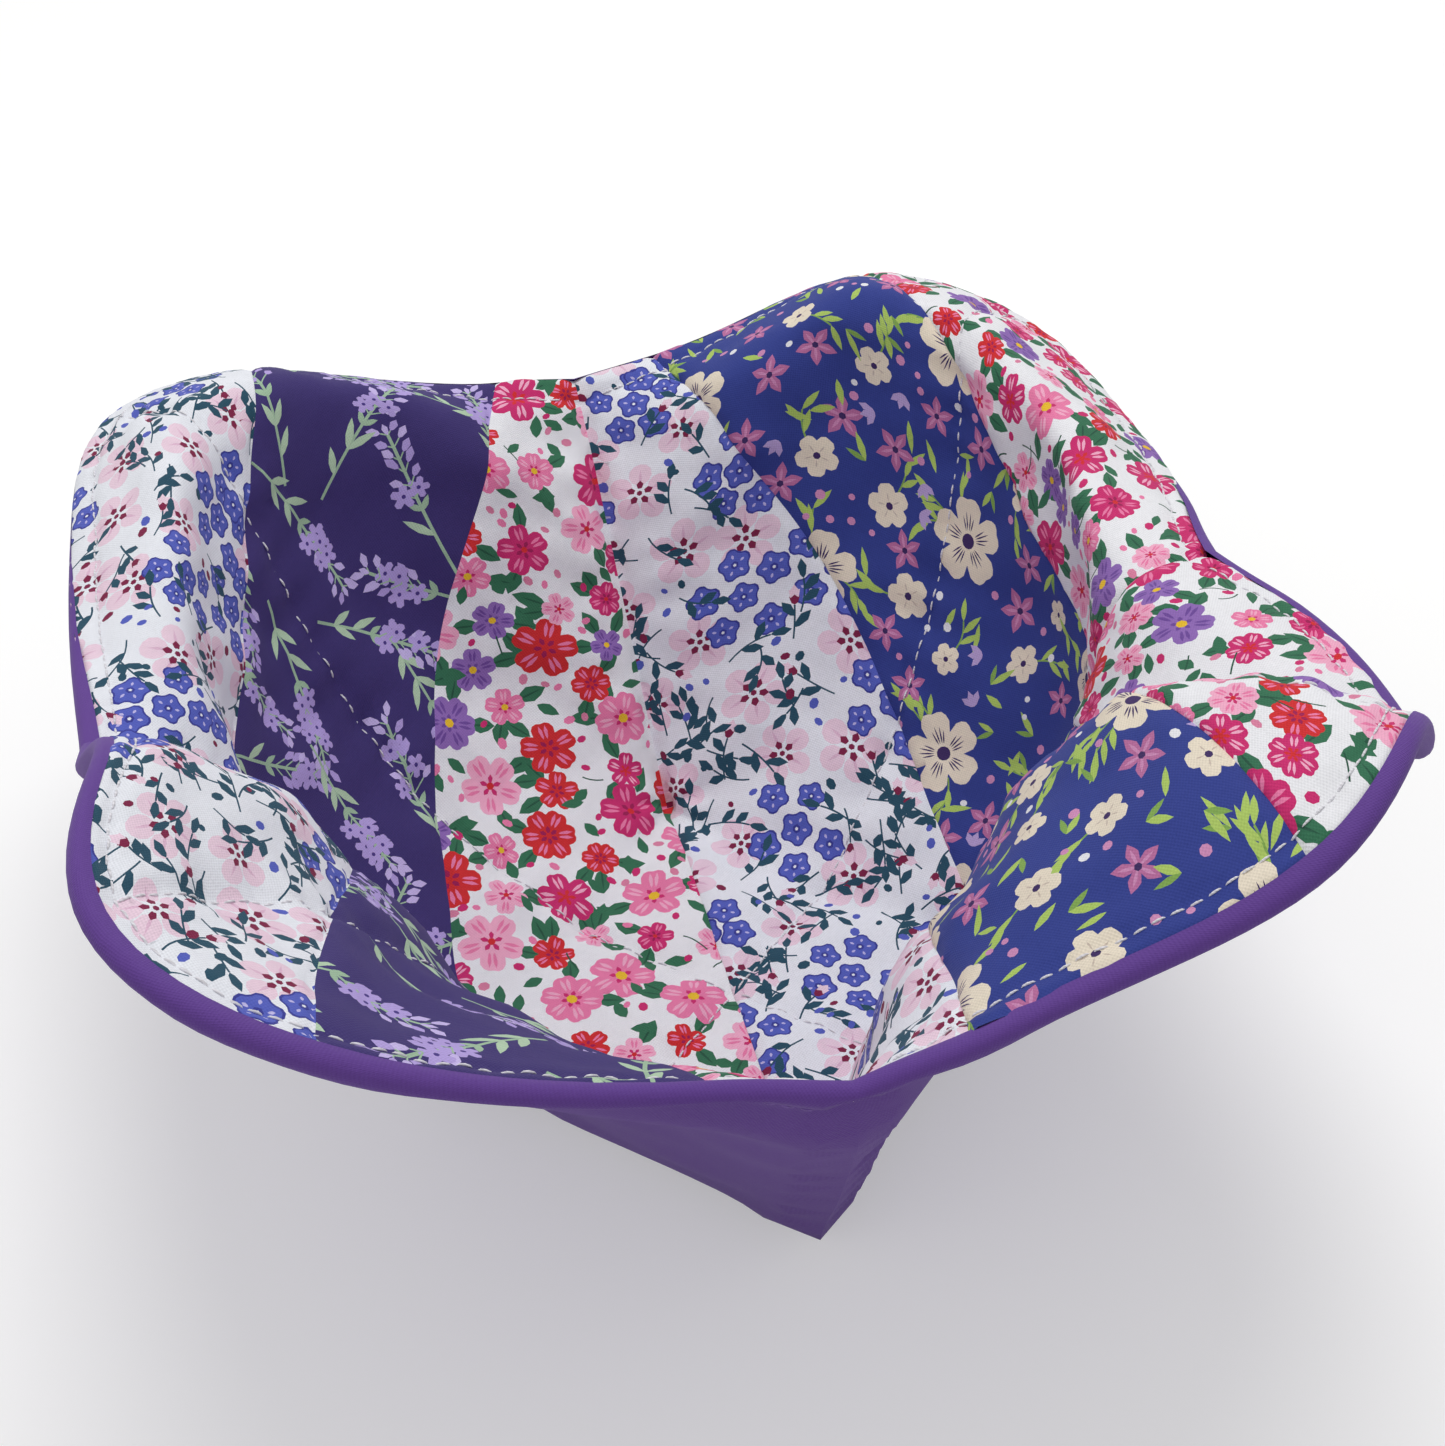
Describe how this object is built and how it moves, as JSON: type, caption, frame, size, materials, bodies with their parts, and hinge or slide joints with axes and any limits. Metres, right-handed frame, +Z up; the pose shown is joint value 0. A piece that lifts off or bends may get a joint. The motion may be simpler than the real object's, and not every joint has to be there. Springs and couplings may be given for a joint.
{
  "type": "microwave bowl cozy",
  "caption": "Quilted fabric bowl cozy with darted sides, flaring corner lobes and a patchwork lining, which holds a hot bowl",
  "frame": {"origin": "the middle of the flat diamond foot, on the surface that the cozy stands on", "axes": "+Z up out of the bowl, +Y to the back along the lining strips, +X to the right across them"},
  "size_m": [0.1679, 0.1886, 0.1012],
  "materials": {
    "outer_cloth": "plain weave cotton, matt",
    "batting": "needled cotton batting, matt",
    "print_white": "printed cotton, small blue and pale pink flowers on white",
    "print_plum": "printed cotton, lilac sprigs on dark purple",
    "print_pink": "printed cotton, pink and red flowers on white",
    "print_blue": "printed cotton, cream flowers on royal blue"
  },
  "bodies": {
    "root": {"outer_shell": "outer_cloth", "outer_batting": "batting", "lining_batting": "batting", "lining_strip_white_left": "print_white", "lining_strip_plum": "print_plum", "lining_strip_pink_left": "print_pink", "lining_strip_white_middle": "print_white", "lining_strip_blue": "print_blue", "lining_strip_pink_right": "print_pink"}
  },
  "joints": []
}
